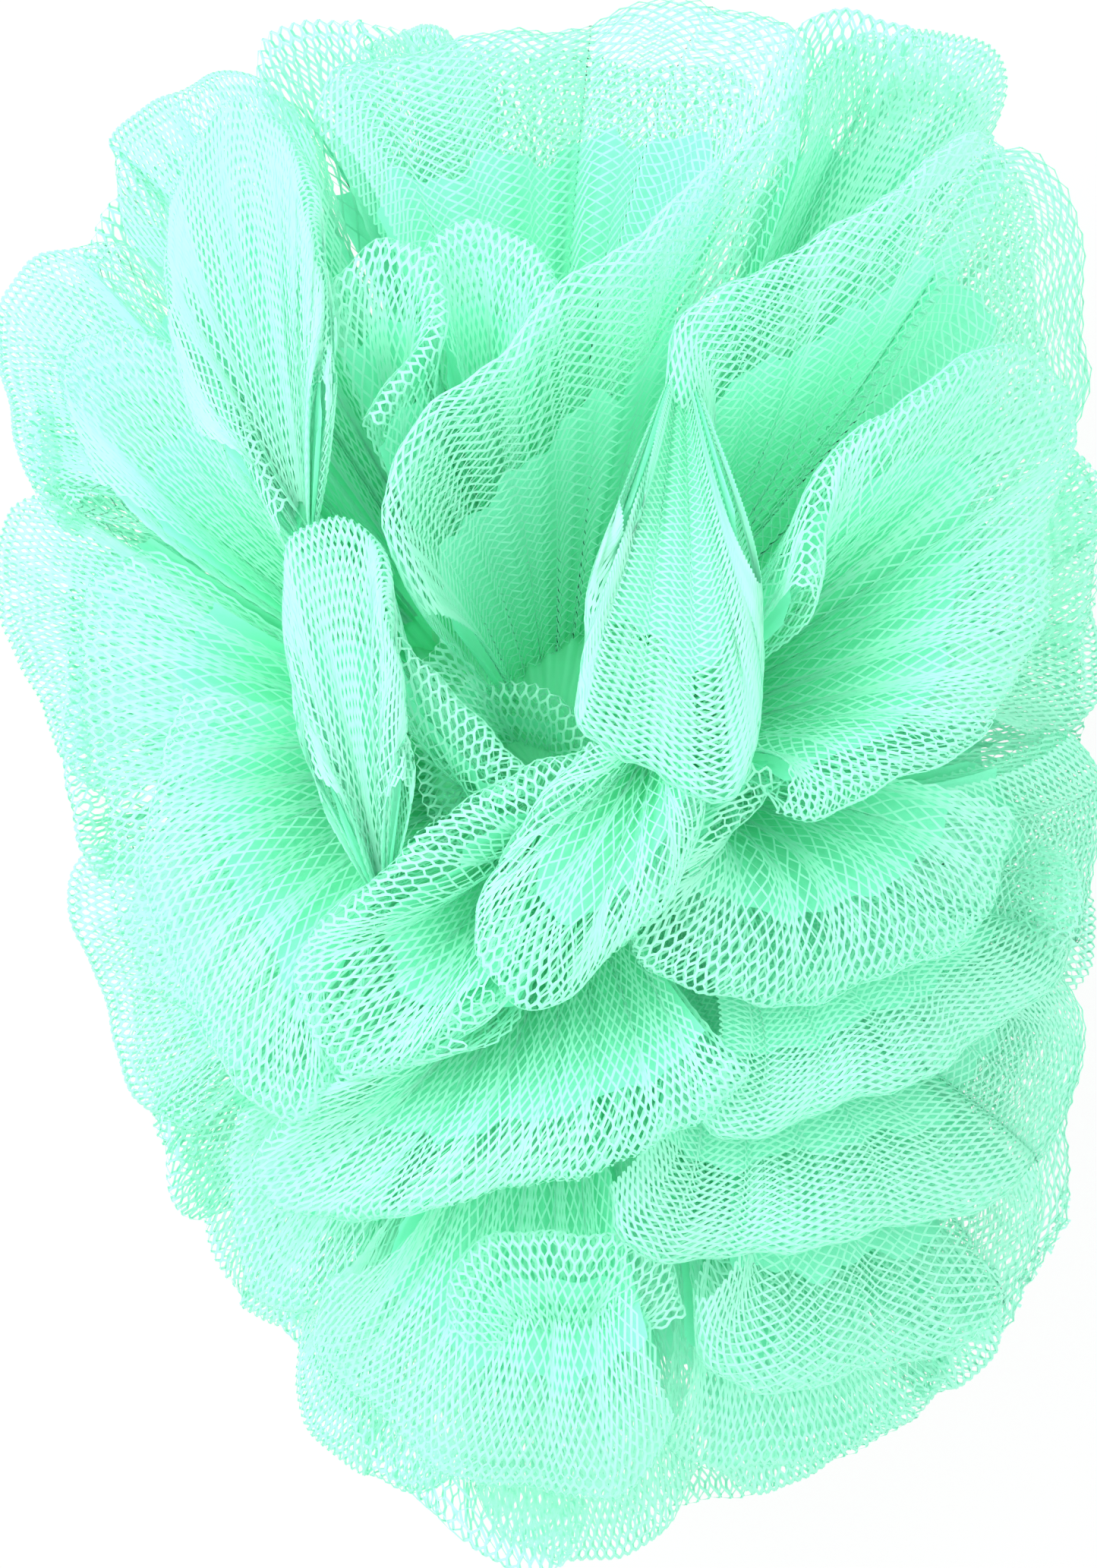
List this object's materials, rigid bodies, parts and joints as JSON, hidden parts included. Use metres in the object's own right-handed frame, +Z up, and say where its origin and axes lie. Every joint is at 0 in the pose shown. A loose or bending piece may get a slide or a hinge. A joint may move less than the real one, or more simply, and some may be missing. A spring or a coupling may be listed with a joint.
{
  "type": "bath pouf",
  "caption": "Mesh bath pouf: tubular diamond-celled net, gathered and tied at its middle so that it opens into full soft ruffles all round",
  "frame": {"origin": "middle of the bounding box's underside, on the surface that the pouf lies on", "axes": "+Z up, along the axis of the tie; +Y along the longest side of the pouf"},
  "size_m": [0.1189, 0.167, 0.0986],
  "materials": {
    "mint_net": "thin knitted polyethylene net, mint green",
    "mint_cord": "soft cord of the same green"
  },
  "bodies": {
    "root": {"net": "mint_net", "waist_tie": "mint_cord"}
  },
  "joints": []
}
